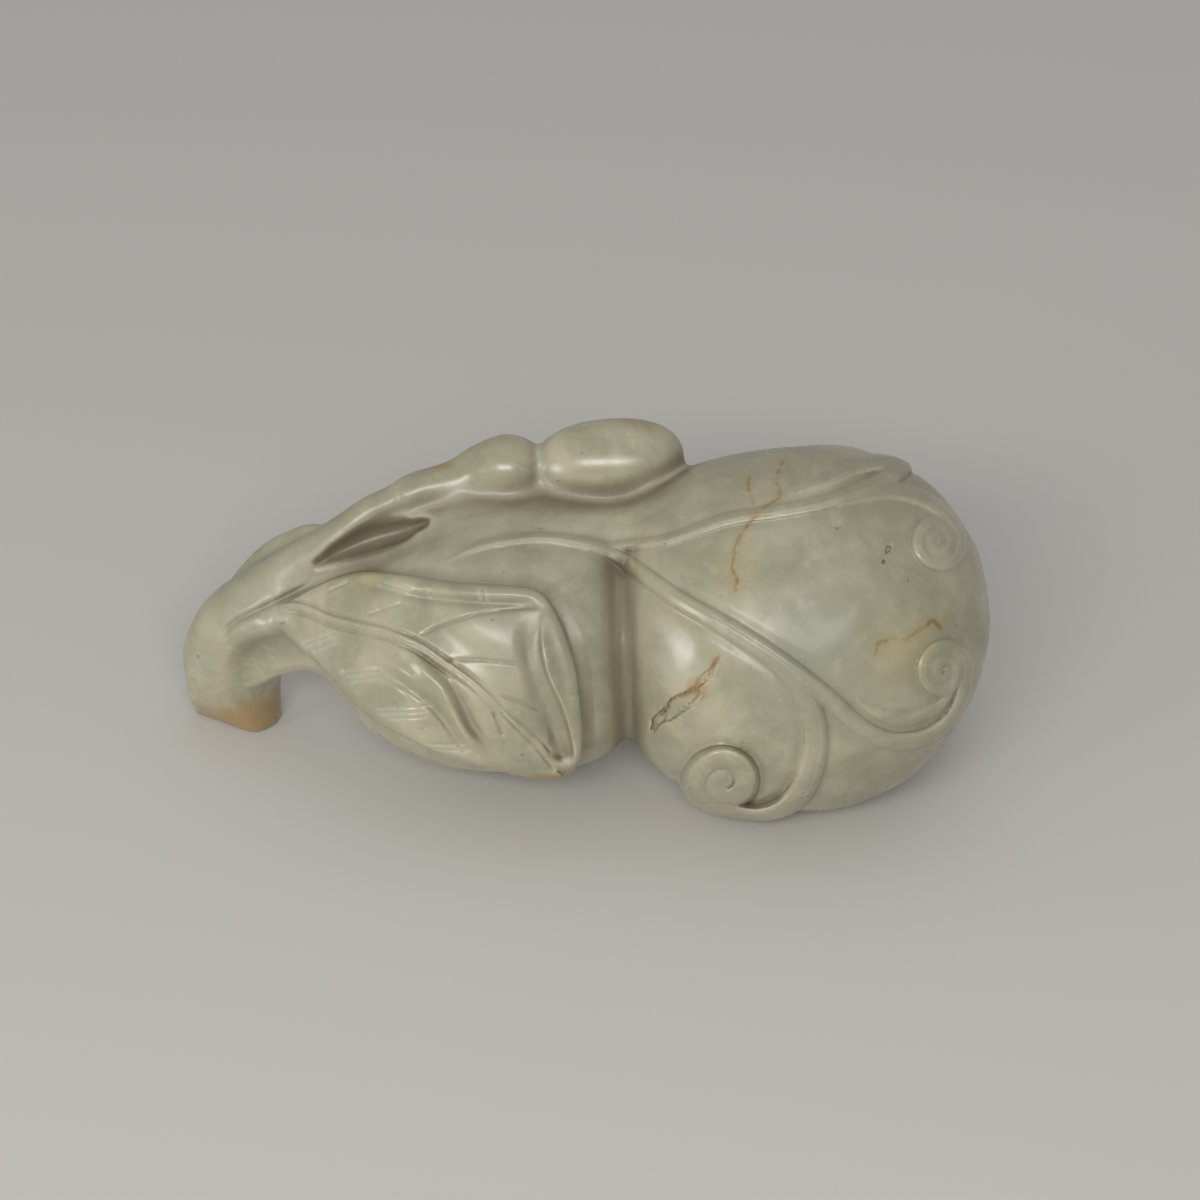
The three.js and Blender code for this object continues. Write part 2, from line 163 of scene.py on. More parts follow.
def oval_rod(points, form):
    """Distance to a rod: the place in its oval section, scaled by the two half sizes, with round ends."""
    _, where = nearest(points, form["path"])
    i = np.minimum(where.astype(int), len(form["path"]) - 2)
    share = (where - i)[:, None]
    middle, half, along, out, across = (form[k][i] * (1 - share) + form[k][i + 1] * share
                                        for k in ("path", "half", "along", "out", "across"))
    gap = points - middle
    a, b, c = ((gap * axis).sum(1) for axis in (across, out, along))
    wide, thick = half.T
    u, v, w = a / wide, b / thick, c / thick
    size = np.sqrt(u * u + v * v + w * w) + 1e-6
    return (size - 1) * size / np.sqrt((u / wide) ** 2 + (v / thick) ** 2 + (w / thick) ** 2 + 1e-12)


def join_rod(body, points, form):
    """Joins a rod to the body, worked out only near the rod."""
    near = inside_box(points, form["low"], form["high"])
    if len(near):
        body[near] = melt(body[near], oval_rod(points[near], form), form["fillet"])
    return body


saddle = rod(SADDLE, fillet=4)
web = rod(WEB, fillet=3)
stalk = rod(STALK, fillet=2.5)


# Three hollows are cut into the stone with round tools: the slot between the stalk and the vine, the cove
# under the arch behind the front leaf's lower edge, and the shallow groove between the leaf and the vine.
SLOT = [[-30.4, -1, 10.5, 0.4, 1], [-28.4, -1.4, 11.4, 1, 1.8], [-25, -1.8, 12.6, 1.4, 2.4],
        [-21.4, -2.2, 13.4, 1.2, 2.4], [-19.9, -2.4, 13.8, 0.6, 1.6]]
COVE = [[-42.2, 9.5, -8, 1, 1.4], [-41.2, 7.6, -4.2, 2.2, 2.8], [-39.4, 4.6, -1.9, 3.4, 4],
        [-36.6, 0.8, -1.7, 4.2, 5], [-33.4, -2.2, -3.8, 4, 4.6], [-30.4, -4.8, -6.8, 3, 3.6],
        [-27.4, -7.2, -10, 1.8, 2]]
GROOVE = [[-34.6, -0.6, 7.8, 0.4, 0.3], [-32.4, -1.5, 9, 0.9, 0.8], [-29.6, -2.5, 10.4, 1.3, 1.2],
          [-26, -3.6, 12, 1.5, 1.4], [-21, -5, 13.8, 1.5, 1.3], [-16, -6.2, 15, 0.9, 0.7]]
slot = rod(SLOT, fillet=0.8)
cove = rod(COVE, fillet=1.6)
groove = rod(GROOVE, fillet=2.4)


def common(a, b, width):
    """What two bodies share, with a rounded edge of the given width."""
    return -melt(-a, -b, width)


def cut_rod(body, points, form):
    """Cuts a rod away from the body, with a rounded edge."""
    near = inside_box(points, form["low"], form["high"])
    if len(near):
        body[near] = common(body[near], -oval_rod(points[near], form), form["fillet"])
    return body


# The vine leaves the baby gourd, runs along the stalk with the slot between the two, and fades out over
# the hook. It swells at its first joint.
VINE = [[-13, 0.4, 19.2, 2.5, 2.5], [-16.2, 0.4, 18.4, 2.3, 2.6], [-19, 0.3, 17.9, 2.15, 2.6],
        [-20.7, 0.3, 17.3, 2.1, 2.6], [-22.2, 0.4, 16.8, 1.75, 2.2], [-24.8, 0.4, 15.8, 1.7, 2.3],
        [-28, 0.9, 13.8, 1.8, 2.5], [-31, 1.8, 12, 1.9, 2.5], [-35, 3.6, 9.9, 1.7, 2.4],
        [-39.6, 6.4, 7.2, 1.65, 2.4], [-43.2, 9.6, 4.8, 1.7, 2.4], [-45.8, 13, 1, 1.6, 2.2],
        [-46, 15.6, -3, 1.1, 1.5]]
vine = rod(VINE, fillet=1.7)


# The baby gourd lies on the saddle: two small bulbs turned about one axis, with a narrow neck between them.
BABY_LARGE = dict(centre=0, radius=4.85, left=8.6, left_power=2.2, right=8.1, right_power=2.4)
BABY_SMALL = dict(centre=-11.9, radius=3.75, left=5.2, left_power=1.7, right=4.2, right_power=2.2)
BABY_CENTRE = (2.4, 0.4, 19.8)
BABY_BOX = (-26, -8, 9), (14, 9, 29)
NECK_FILLET = 1.4
BABY_FILLET = 1.5


def join_baby_gourd(body, points):
    """Joins the two small bulbs, turned about an axis through the baby's centre."""
    near = inside_box(points, *BABY_BOX)
    x, y, z = (points[near] - np.array(BABY_CENTRE)).T
    out = np.hypot(y, z)
    baby = melt(bulb(x, out, BABY_SMALL), bulb(x, out, BABY_LARGE), NECK_FILLET)
    body[near] = melt(body[near], baby, BABY_FILLET)
    return body


# The two leaves, one laid over each side of the small bulb and the stalk. A leaf is a thin blade over the
# rounded bed of stone under it: its outline and its relief are charts over the plane. The front leaf turns
# its top edge and its far edge over in narrow folds, and has a double cut midrib and cut veins.
CHART_STEP = 0.1
LINE_STEPS = 6
OUTLINE_STEPS = 8
BED_STEPS = 30
LEAF_FILLET = 0.25


def chart(low, high, height):
    """A grid of heights over the plane, from a function of x and z."""
    x = np.arange(low[0], high[0], CHART_STEP)
    z = np.arange(low[1], high[1], CHART_STEP)
    grid_x, grid_z = np.meshgrid(x, z, indexing="ij")
    values = height(np.stack([grid_x.ravel(), grid_z.ravel()], 1))
    return dict(low=np.array(low), values=values.reshape(grid_x.shape))


def read(sheet, x, z):
    """The chart's height at x, z: a weighted mean of the four grid values round it."""
    values = sheet["values"]
    u = np.clip((x - sheet["low"][0]) / CHART_STEP, 0, values.shape[0] - 1.001)
    v = np.clip((z - sheet["low"][1]) / CHART_STEP, 0, values.shape[1] - 1.001)
    i, j = u.astype(int), v.astype(int)
    u, v = u - i, v - j
    return ((values[i, j] * (1 - u) + values[i + 1, j] * u) * (1 - v)
            + (values[i, j + 1] * (1 - u) + values[i + 1, j + 1] * u) * v)


def ramp(value, low, high):
    """A smooth step from 0 at low to 1 at high: 3t² - 2t³."""
    t = np.clip((value - low) / (high - low), 0, 1)
    return t * t * (3 - 2 * t)


def run_out(share, start, end):
    """1 along a path but for its two ends, where it falls smoothly to 0: a step up and a step down."""
    return ramp(share, *start) * ramp(1 - share, *end)


def outline_distance(flat, outline):
    """Distance to a closed line in the plane, below 0 inside it: inside is where the line is crossed an
    odd number of times on the way up."""
    distance, _ = nearest(flat, outline)
    x, z = flat.T
    crossed = np.zeros(len(flat), bool)
    for (ax, az), (bx, bz) in zip(outline[:-1], outline[1:]):
        if ax != bx:
            crossed ^= ((ax > x) != (bx > x)) & (z < az + (bz - az) * (x - ax) / (bx - ax))
    return np.where(crossed, -distance, distance)


def cut(flat, rows, depth, width, fade=0.15):
    """A cut line: a bell-shaped groove along a smooth path, which runs out at both its ends."""
    path = smooth_path(rows, LINE_STEPS)
    distance, where = nearest(flat, path)
    share = where / (len(path) - 1)
    ends = (-0.01, fade)
    return -depth * run_out(share, ends, ends) * bump(distance, width)


def beside(flat, rows, steps=LINE_STEPS):
    """Distance from a smooth path, above 0 on its right hand, and the share of the way along it."""
    path = smooth_path(rows, steps)
    distance, where = nearest(flat, path)
    i = np.minimum(where.astype(int), len(path) - 2)
    step = path[i + 1] - path[i]
    gap = flat - path[i]
    side = np.sign(step[:, 1] * gap[:, 0] - step[:, 0] * gap[:, 1])
    return distance * side, where / (len(path) - 1)


FRONT_UPPER = [[-36.7, 5.4], [-34.4, 6.4], [-28.6, 8.6], [-24.1, 8.9], [-15.3, 7.2], [-8.6, 6.4],
               [-6.2, 5.6], [-4.9, 3.8], [-3.7, 0.8], [-2.7, -3.6], [-2.4, -9.5]]
FRONT_LOWER = [[-2.8, -12.6], [-4.1, -14.6], [-7.5, -15.1], [-14.2, -13.1], [-17.4, -11.9], [-21.7, -9.6],
               [-26.2, -6.9], [-28.8, -4], [-30.9, -1.5], [-33.6, 1], [-35.7, 3.3], [-36.7, 5.4]]
FRONT_MIDRIB = [[-36.7, 5.2], [-34.4, 5.7], [-32, 5.1], [-30, 4.1], [-26.7, 3.1], [-23.4, 2.2],
                [-19.9, 0.6], [-17.2, -1.4], [-14.3, -3.7], [-12.2, -5.9], [-9.4, -9.4], [-6, -13.4]]
# each vein's path, and how deep it is cut
FRONT_VEINS = [
    ([[-12.1, -6.9], [-11.1, -9.9]], 0.24), ([[-11.8, -6.6], [-8, -10.9], [-5.7, -14.2]], 0.24),
    ([[-10.7, -6.8], [-7, -10.6], [-6, -12.1]], 0.21), ([[-11.3, -5.2], [-6.7, -7.3]], 0.21),
    ([[-30, 7], [-27.1, 8]], 0.18), ([[-25.4, 4.2], [-21.1, 5.3]], 0.18),
    ([[-20.2, 1.5], [-16.4, 2.8], [-12.5, 3.7], [-8.1, 4], [-5.6, 3.9]], 0.24),
    ([[-17.2, -1.2], [-13.4, -1.3], [-8.4, -2.1]], 0.24),
]
FRONT_VEIN_WIDTH = 0.18
# clusters of short cuts that shade the blade, paler than the polished skin
HATCHING = [[[-33.2, 1.5], [-29.1, 2.6]], [[-32.9, 0.9], [-29.2, 1.9]], [[-32, 0.4], [-29.2, 1.2]],
            [[-29, -1.9], [-24, -1.7]], [[-28.2, -2.5], [-24.3, -2.3]], [[-27.4, -3.1], [-24.6, -2.9]],
            [[-25.2, -6.2], [-18.6, -6.1]], [[-24.8, -6.8], [-19.2, -6.7]], [[-23.6, -7.4], [-19.4, -7.3]],
            [[-19.8, -10.4], [-14.9, -10.6]], [[-19, -11], [-14.6, -11.2]], [[-24, 7.4], [-20.9, 6.4]],
            [[-23.2, 7.6], [-20.2, 6.7]], [[-18.6, 6.8], [-18.3, 5.6]], [[-13, 6.4], [-12.7, 5.2]],
            [[-12.2, 6.3], [-12, 5.1]]]
HATCH_DEPTH = 0.12
HATCH_WIDTH = 0.17
FRONT_STEP = [[-21.5, 0.6], [-20, -0.2], [-18.8, -1.7], [-16.9, -3.7], [-15.6, -6.4], [-14.8, -8.8],
              [-13.5, -10.4], [-11.6, -12.6]]
FRONT_ROLL = [[-27.6, 1.2], [-24, -1.4], [-19.8, -4.4], [-17.5, -6.9], [-15.5, -10], [-13.3, -12.6]]
FAR_FOLD = [[-5.6, 4.4], [-6.1, 1.6], [-6.1, -1.1], [-5.5, -3.9], [-4.5, -6.4], [-3.9, -8.6], [-3.4, -11.6],
            [-3.4, -13.4]]
TOP_FOLD = [[-27, 8.6], [-23.5, 7.4], [-19.6, 6.2], [-14.5, 5.4], [-10.9, 5], [-5.8, 4.6]]


def profile(off, rows):
    """A section across a line: a sum of bells, each with a height, a place beside the line and a width."""
    return sum(height * bump(off - place, width) for height, place, width in rows)


# sections across the front leaf's lines, as rows of height, place beside the line and width
MIDRIB_SECTION = [[0.3, 0, 0.6], [-0.42, 0.68, 0.22], [-0.42, -0.62, 0.22], [-0.2, 0.05, 0.14]]
MIDRIB_DIP = [[0.45, -2.6, 2]]
STEP_SECTION = [[0.55, 0.75, 0.75], [-0.5, -0.5, 0.7]]
ROLL_SECTION = [[0.5, -0.75, 0.75], [-0.55, 0.45, 0.55]]
TOP_FOLD_SECTION = [[0.35, -0.8, 0.9], [-0.4, 0.35, 0.5]]
FAR_FOLD_DIP = [[1, 1.6, 1.2]]
FAR_FOLD_RIDGE = dict(rise=1.15, steep_side=0.32, gentle_side=1.5)
FRONT_THICKNESS = 1.15
LOBE_SWELL = dict(middle=(-26.3, -3.8), longer=1.3, reach=3.2, rise=0.65)


def front_relief(flat):
    """Height of the blade over its bed: it swells below the midrib, dips beside the folds and steps down
    where the lower lobe ends. The midrib is a low band between two grooves, and the veins are cut."""
    height = np.full(len(flat), FRONT_THICKNESS)
    x, z = flat.T
    middle_x, middle_z = LOBE_SWELL["middle"]
    off_middle = np.hypot((x - middle_x) / LOBE_SWELL["longer"], z - middle_z)
    height += LOBE_SWELL["rise"] * bump(off_middle, LOBE_SWELL["reach"])
    off, share = beside(flat, FRONT_MIDRIB)
    height += run_out(share, (0, 0.08), (0.02, 0.4)) * profile(off, MIDRIB_SECTION)
    height -= profile(off, MIDRIB_DIP) * ramp(share, 0.3, 0.6)
    for rows, depth in FRONT_VEINS:
        height += cut(flat, rows, depth, FRONT_VEIN_WIDTH)
    for rows in HATCHING:
        height += cut(flat, rows, HATCH_DEPTH, HATCH_WIDTH)
    off, share = beside(flat, FRONT_STEP)
    height += run_out(share, (0.02, 0.3), (0.02, 0.25)) * profile(off, STEP_SECTION)
    off, share = beside(flat, FRONT_ROLL)
    height += run_out(share, (0, 0.3), (0, 0.3)) * profile(off, ROLL_SECTION)
    off, share = beside(flat, FAR_FOLD)
    gentle = np.exp(np.minimum(off, 0) / FAR_FOLD_RIDGE["gentle_side"])
    ridge = FAR_FOLD_RIDGE["rise"] * np.where(off > 0, bump(off, FAR_FOLD_RIDGE["steep_side"]), gentle)
    height += run_out(share, (0, 0.3), (-0.02, 0.12)) * (ridge - profile(off, FAR_FOLD_DIP))
    off, share = beside(flat, TOP_FOLD)
    return height + run_out(share, (0, 0.2), (0, 0.15)) * profile(off, TOP_FOLD_SECTION)


# each row of a leaf's bed is x, then z and y of its middle, and half the width and depth of its oval
FRONT_BED = [[-38, 4.4, 9.6, 5.6, 5.4], [-34, 4.4, 6.2, 6, 5.8], [-31, 3.2, 3.8, 6.8, 6.6],
             [-28.8, 2.2, 2.4, 7.7, 7.2], [-26.2, 0.8, 1.2, 9, 8.4], [-24, 0.2, 0.4, 10.2, 9.8],
             [-20.7, 0, 0, 12.5, 12.3], [-14, 0, 0, 13.9, 13.9], [-7.5, 0, 0, 15.2, 14.4],
             [-2, 0, 0, 15, 13.9]]


def leaf(side, edge, rim, bed, upper, lower, low, high, relief):
    """A leaf on one side: its bed, the charts of its outline and of its relief, with a bead of the height
    rim just inside the outline, and the box that it lies in."""
    outline = np.vstack([smooth_path(upper, OUTLINE_STEPS), smooth_path(lower, OUTLINE_STEPS)])
    plane = low[::2], high[::2]

    def beaded(flat):
        return relief(flat) + rim * bump(outline_distance(flat, outline) + 0.7, 0.7)

    return dict(side=side, edge=edge, bed=smooth_path(bed, BED_STEPS), low=low, high=high,
                outline=chart(*plane, lambda flat: outline_distance(flat, outline)),
                relief=chart(*plane, beaded))


front_leaf = leaf(side=-1, edge=0.5, rim=0.2, bed=FRONT_BED, upper=FRONT_UPPER, lower=FRONT_LOWER,
                  low=(-40, -22, -18), high=(0, 9, 12), relief=front_relief)

BACK_UPPER = [[-43.4, 7.4], [-40.7, 10.5], [-38, 12.8], [-34.9, 14.2], [-31, 14.8], [-24, 12.4], [-15, 10],
              [-7, 6.5], [-1.5, -1]]
BACK_LOWER = [[-1.5, -1.4], [-4, -6], [-10, -9], [-18, -8.5], [-26, -6], [-32, -1.5], [-38, 2], [-43, 6],
              [-43.4, 7.4]]
BACK_MIDRIB = [[-42.5, 7], [-34, 6], [-24, 3.4], [-14, 1], [-6, -0.6], [-1.5, -1.2]]
BACK_VEINS = [[[-35, 6.2], [-31, 9], [-27, 12.4]], [[-29, 4.8], [-24, 7.6], [-18.5, 10.4]],
              [[-22, 2.8], [-16.5, 5.2], [-11, 7.6]], [[-34, 5.9], [-31, 2.6], [-29.5, -1.5]],
              [[-27, 4.1], [-23, 0], [-20.5, -5]], [[-20, 2.4], [-15.5, -1.8], [-12, -6.2]]]
BACK_VEIN_DEPTH = 0.14
BACK_VEIN_WIDTH = 0.2
BACK_THICKNESS = 1.1
BACK_MIDRIB_SECTION = [[0.2, 0, 0.5], [-0.22, 0.65, 0.2], [-0.22, -0.65, 0.2]]


def back_relief(flat):
    """Height of the plainer leaf on the back: its midrib between two grooves, with cut veins beside it."""
    height = np.full(len(flat), BACK_THICKNESS)
    off, share = beside(flat, BACK_MIDRIB)
    height += run_out(share, (0, 0.1), (0, 0.2)) * profile(off, BACK_MIDRIB_SECTION)
    for rows in BACK_VEINS:
        height += cut(flat, rows, BACK_VEIN_DEPTH, BACK_VEIN_WIDTH)
    return height


BACK_BED = [[-43, 5.5, 12, 6, 5.4], [-38, 6.2, 9.4, 8, 6], [-33, 5.6, 5.6, 10, 6.8],
            [-28, 3.4, 2.6, 12, 8.2], [-24, 1.6, 0.8, 12.6, 9.8], [-20, 0.6, 0, 13.4, 12.4],
            [-14, 0, 0, 14, 13.9], [-7.5, 0, 0, 14.4, 14.4], [-1, 0, 0, 14, 13.4]]
back_leaf = leaf(side=1, edge=2, rim=0, bed=BACK_BED, upper=BACK_UPPER, lower=BACK_LOWER,
                 low=(-46, -2, -14), high=(2, 22, 18), relief=back_relief)
# the ground is cut back a little all round a leaf
MOAT = dict(depth=0.35, place=0.2, width=1.1)


def join_leaf(body, points, form):
    """Joins a leaf: the oval bed grown by the relief, cut to the outline, on its own side of the middle."""
    near = inside_box(points, form["low"], form["high"])
    if not len(near):
        return body
    x, y, z = points[near].T
    height, depth, wide, thick = (np.interp(x, form["bed"][:, 0], form["bed"][:, k]) for k in range(1, 5))
    u, v = (z - height) / wide, (y - depth) / thick
    size = np.hypot(u, v) + 1e-6
    blade = (size - 1) * size / np.hypot(u / wide, v / thick) - read(form["relief"], x, z)
    past_edge = read(form["outline"], x, z)
    blade = common(blade, past_edge, form["edge"])
    blade = common(blade, form["side"] * (depth - y), form["edge"])
    moat = MOAT["depth"] * bump(np.maximum(past_edge, 0) - MOAT["place"], MOAT["width"])
    ground = body[near] + moat * ramp(form["side"] * (y - depth), 0, 3)
    body[near] = melt(ground, blade, LEAF_FILLET)
    return body


def bare_stone(points):
    """The stone before its tendrils are raised."""
    body = gourd(points)
    for form in (saddle, web, stalk):
        body = join_rod(body, points, form)
    body = join_leaf(body, points, back_leaf)
    for form in (cove, groove):
        body = cut_rod(body, points, form)
    body = join_leaf(body, points, front_leaf)
    body = join_baby_gourd(body, points)
    body = join_rod(body, points, vine)
    return cut_rod(body, points, slot)


# The tendrils: low bands raised on the bulbs, with the ground cut back beside them. Each row is a place in
# the plane, half the band's width and how far it stands out. Four of them end in a curl: the band winds
# inwards until its turns lie side by side as a low disc with a spiral line cut in it.
def spiral(centre, radii, start, turns, half, rise):
    """Rows along a spiral: the radius falls from the first to the second of radii, a little slower at
    first."""
    share = np.linspace(0, 1, max(4, int(abs(turns) * 12)))
    angle = np.radians(start + 360 * turns * share)
    reach = radii[0] + (radii[1] - radii[0]) * share ** 1.1
    return np.stack([centre[0] + reach * np.cos(angle), centre[1] + reach * np.sin(angle),
                     half + 0 * share, rise[0] + (rise[1] - rise[0]) * share], 1).tolist()


FRONT_TENDRILS = [
    [[-16.6, 9.6, 0.3, 0.1], [-13, 10.9, 0.5, 0.3], [-10.6, 11.4, 0.55, 0.35], [-6.1, 11.7, 0.6, 0.35],
     [-2, 11, 0.7, 0.38], [0.6, 10.2, 0.8, 0.4], [3, 8.8, 0.85, 0.45], [7.9, 4.6, 1, 0.5],
     [14.1, 0.5, 1.05, 0.5], [19.4, -3.4, 1.1, 0.5], [24.1, -7.4, 1.05, 0.5], [27.1, -10.4, 1, 0.5],
     [30, -12.3, 1.05, 0.5], [33.1, -12.8, 1.05, 0.5], [36.3, -12, 1, 0.5], [38.9, -9.7, 1, 0.5]]
    + spiral((37.2, -5.3), radii=(2.8, 0.4), start=-25, turns=2, half=1, rise=(0.5, 0.55)),
    [[-3.5, 11, 0.4, 0.1], [-0.4, 10.4, 0.55, 0.25], [2.6, 10.2, 0.6, 0.33], [8.2, 10.6, 0.65, 0.4],
     [14.5, 12.4, 0.7, 0.42], [19.7, 12.9, 0.75, 0.42], [24.7, 13.6, 0.8, 0.42], [28.4, 14.6, 0.9, 0.42],
     [31.5, 15.6, 1.1, 0.45], [34.7, 17.6, 1.2, 0.5]],
    [[22.5, 15, 0.3, 0.1], [25.4, 15.9, 0.7, 0.25], [28.6, 17.2, 0.9, 0.35], [31.6, 17.9, 1.1, 0.42],
     [34.7, 17.8, 1.4, 0.55]],
    [[26.5, 13.4, 0.5, 0.1], [29.5, 14.2, 0.9, 0.22], [32.5, 14.7, 1.1, 0.3], [35.6, 13.9, 1.1, 0.36],
     [38.2, 12.3, 1, 0.4]]
    + spiral((37.4, 8.9), radii=(2.8, 0.4), start=42, turns=-1.95, half=1, rise=(0.45, 0.5)),
    [[27.5, -8, 0.4, 0.15], [29.8, -9.6, 0.7, 0.3], [33, -10.3, 0.8, 0.35], [36, -9.4, 0.7, 0.3],
     [38, -8, 0.5, 0.2]],
    [[15.5, -1.2, 0.6, 0.12], [18.6, -3.1, 1, 0.3], [21.2, -6.2, 1.2, 0.42], [22.7, -10.5, 1.3, 0.5],
     [22.2, -15, 1.4, 0.55], [20.8, -18, 1.45, 0.65], [18.6, -19.9, 1.4, 0.85], [16, -20.5, 1.45, 0.95]]
    + spiral((12.8, -16.3), radii=(3.7, 0.6), start=-80, turns=-1.5, half=1.5, rise=(1, 0.9)),
]
BACK_TENDRILS = [
    [[3, 8, 0.6, 0.2], [9, 8, 1.2, 0.5], [16, 9.6, 1.3, 0.55], [23, 8.4, 1.3, 0.55], [29, 4.4, 1.3, 0.55]]
    + spiral((27.6, -3), radii=(4.5, 0.5), start=40, turns=-2, half=1.15, rise=(0.55, 0.5)),
]
# a low mound of stone is left under the lower curl, out to its band
CURL_MOUND = dict(middle=(15.2, -17), reach=6.4, rise=0.4)
# the charts run out over this stretch of y, from just behind the outline to just in front of it
SIDE_RUN_OUT = (-3, 1)
TENDRILS_FROM = -19
TENDRIL_STEPS = 3
SKIN = 3


def tendril_relief(flat, tendrils):
    """Height of the bands: each has a rounded shoulder, a fine line cut a third of the way in from each
    edge, and a shallow trench beside it. Where bands overlap the higher one counts."""
    raised, trench = np.zeros(len(flat)), np.zeros(len(flat))
    for rows in tendrils:
        path = smooth_path(rows, TENDRIL_STEPS)
        reach = path[:, 2].max() + 1.6
        near = inside_box(flat, path[:, :2].min(0) - reach, path[:, :2].max(0) + reach)
        off, share = beside(flat[near], path[:, :2], 1)
        place = share * (len(path) - 1)
        half, rise = (np.interp(place, np.arange(len(path)), path[:, k]) for k in (2, 3))
        band = rise * (0.7 * ramp(half - np.abs(off), -0.2, 0.6) + 0.3 * ramp(half - np.abs(off), 0, 1.1))
        band -= 0.05 * (bump(off - 0.35 * half, 0.13) + bump(off + 0.3 * half, 0.11)) * ramp(rise, 0.1, 0.3)
        raised[near] = np.maximum(raised[near], band)
        trench[near] = np.maximum(trench[near], 0.3 * rise * bump(np.abs(off) - half - 0.2, 0.6))
    return raised - np.minimum(trench, 0.2) * ramp(raised, 0.12, 0)


tendril_charts = [(side, chart((-20, -26), (47, 24), lambda flat, rows=rows: tendril_relief(flat, rows)))
                  for side, rows in ((-1, FRONT_TENDRILS), (1, BACK_TENDRILS))]


def raise_tendrils(body, points):
    """Grows the body near its skin by the chart of its own side, and by the mound in front."""
    x, y, z = points.T
    for side, heights in tendril_charts:
        near = np.flatnonzero((x > TENDRILS_FROM) & (side * y > SIDE_RUN_OUT[0]) & (np.abs(body) < SKIN))
        if len(near):
            body[near] -= read(heights, x[near], z[near]) * ramp(side * y[near], *SIDE_RUN_OUT)
    near = np.flatnonzero((-y > SIDE_RUN_OUT[0]) & (np.abs(x - 15) < 12) & (z < -8) & (np.abs(body) < SKIN))
    middle_x, middle_z = CURL_MOUND["middle"]
    out = np.hypot(x[near] - middle_x, z[near] - middle_z) / CURL_MOUND["reach"]
    body[near] -= CURL_MOUND["rise"] * ramp(1.25 - out, 0, 0.45) * ramp(-y[near], *SIDE_RUN_OUT)
    return body


def slopes(field, points, step=0.05):
    """Slope of a field at each point, from four samples at the corners of a small tetrahedron."""
    corners = np.array([[1, 1, 1], [1, -1, -1], [-1, 1, -1], [-1, -1, 1]], float)
    return sum(field(points + step * k)[:, None] * k for k in corners) / (4 * step)


# Damage that the stone keeps: a broken pit beside the lower tendril, small pits in the skin, and a crease
# under the vine's lower edge, on the hook. Each pit's row is its place in the plane, half its length and
# width, its turn in degrees and its depth.
PITS = [[8.3, -7.3, 2.9, 1, 40, 0.5], [6, -8.9, 1.8, 0.6, 62, 0.4], [11.2, -4.4, 1.9, 0.5, 50, 0.18],
        [31.6, 8.2, 0.5, 0.3, 60, 0.3], [31, 6.9, 0.22, 0.18, 0, 0.3]]
PIT_REACH = 4
HOOK_CREASE = dict(rows=[[-31.2, 8.3], [-34, 7.1], [-36.9, 5.9], [-39.2, 5], [-41, 4.2], [-43.4, 2.1]],
                   depth=0.38, width=0.4, fade=0.2)
CREASE_BOX = (-60, -30, 0), (-29, 9, 10)


def pitted(body, points):
    """Sinks each pit in the front face, an oval hollow with a steep, wavering rim, and cuts the crease."""
    x, y, z = points.T
    waver = (0.14 * np.sin(1.6 * x + 1.1 * z) + 0.12 * np.sin(5.3 * z - 2.1 * x)
             + 0.07 * np.sin(8.7 * x + 6.1 * z))
    for px, pz, long, wide, turn, depth in PITS:
        near = np.flatnonzero((np.abs(x - px) < PIT_REACH) & (np.abs(z - pz) < PIT_REACH) & (y < 0))
        if len(near):
            c, s = math.cos(math.radians(turn)), math.sin(math.radians(turn))
            dx, dz = x[near] - px, z[near] - pz
            u, v = (c * dx + s * dz) / long, (c * dz - s * dx) / wide
            body[near] += depth * ramp(1.1 - np.hypot(u, v + waver[near] * (np.abs(u) < 2)), 0, 0.5)
    near = inside_box(points, *CREASE_BOX)
    if len(near):
        body[near] -= cut(points[near][:, [0, 2]], **HOOK_CREASE)
    return body


# The foot of the stalk was cut off flat, and its front edge has broken away at a slant. The break is given
# as the stone rests, with the gourd's axis tilted a little and its broad plane leaning back.
AXIS_TILT = math.radians(3.15)
LEAN_BACK = math.radians(33)
AXIS_HEIGHT = 17.8
FOOT_BREAK = dict(place=(-44.2, 9.5, 0.3), facing=(-0.43, -0.71, -0.56), edge=0.8)
FOOT_END = -34
FOOT_TOP = 7


def turn_matrix():
    """Turn about y by the tilt of the gourd's axis, then about x by the lean of the stone."""
    c, s = math.cos(AXIS_TILT), math.sin(AXIS_TILT)
    tilt = np.array([[c, 0, -s], [0, 1, 0], [s, 0, c]])
    c, s = math.cos(LEAN_BACK), math.sin(LEAN_BACK)
    lean = np.array([[1, 0, 0], [0, c, s], [0, -s, c]])
    return lean @ tilt


TURN = turn_matrix()


def resting(points):
    """Points of the stone turned as it rests, with the top of the table at height 0."""
    return points @ TURN.T + np.array([0, 0, AXIS_HEIGHT])


def broken_foot(body, points, above_floor):
    """Cuts the foot's front edge by a slanting plane, within seven millimetres of the floor."""
    near = np.flatnonzero((points[:, 0] < FOOT_END) & (above_floor < FOOT_TOP))
    if len(near):
        beyond = (resting(points[near]) - np.array(FOOT_BREAK["place"])) @ np.array(FOOT_BREAK["facing"])
        body[near] = common(body[near], beyond, FOOT_BREAK["edge"])
    return body


# The whole stone, worn flat where it rests, as one closed mesh. A grid of small cubes is laid over it,
# every cube that the surface passes through gets one vertex, and the vertices are moved onto the surface.
RESTING_EDGE = 0.5
GRID_LOW = (-49, -24, -24)
GRID_HIGH = (47, 32, 28)
NEAR_SURFACE = 1.7
MOST_MOVE = 0.2
FINE = 5
MOST_TRIANGLES = 194000


